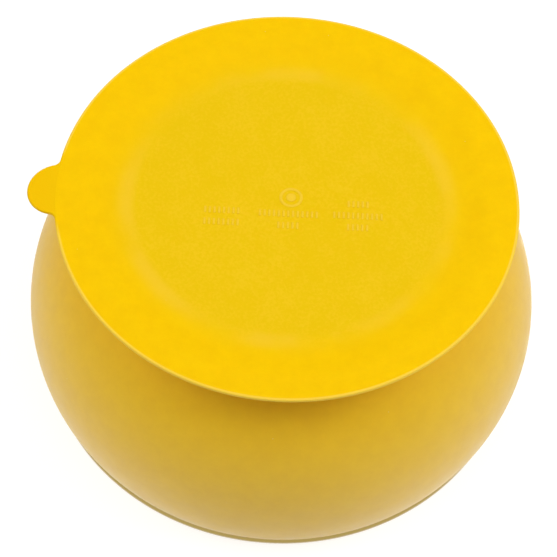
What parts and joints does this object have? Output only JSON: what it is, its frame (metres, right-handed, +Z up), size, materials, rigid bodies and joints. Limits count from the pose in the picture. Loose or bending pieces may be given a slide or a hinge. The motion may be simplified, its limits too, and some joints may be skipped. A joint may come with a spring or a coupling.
{
  "type": "suction bowl",
  "caption": "Round-bellied soft feeding bowl on a wide, thin suction base with a release tab; the base flexes when the bowl is pressed down and the tab lifts to let it go.",
  "frame": {"origin": "on the table plane, under the centre of the bowl", "axes": "+Z up through the bowl's mouth, +X from the centre towards the release tab"},
  "size_m": [0.128, 0.128, 0.064],
  "materials": {
    "bowl_silicone": "matte moulded silicone rubber",
    "base_silicone": "satin moulded silicone rubber, finely matted middle",
    "tab_silicone": "satin moulded silicone rubber"
  },
  "bodies": {
    "base_rim": {"sealing_rim": "base_silicone", "suction_membrane": "base_silicone"},
    "bowl": {"bowl_shell": "bowl_silicone", "suction_hub": "base_silicone"},
    "tab": {"release_tab": "tab_silicone"}
  },
  "joints": [
    {"name": "suction_press", "type": "slide", "parent": "base_rim", "child": "bowl", "axis": [0, 0, -1], "range_m": [0, 0.0015], "stiffness_N_per_m": 2500, "springref_m": -0.0007, "deforming": ["suction_membrane"]},
    {"name": "tab_lift", "type": "hinge", "parent": "base_rim", "child": "tab", "pos_m": [0.0565, 0, 0.001], "axis": [0, -1, 0], "range_deg": [0, 70], "stiffness_Nm_per_rad": 0.0003}
  ]
}
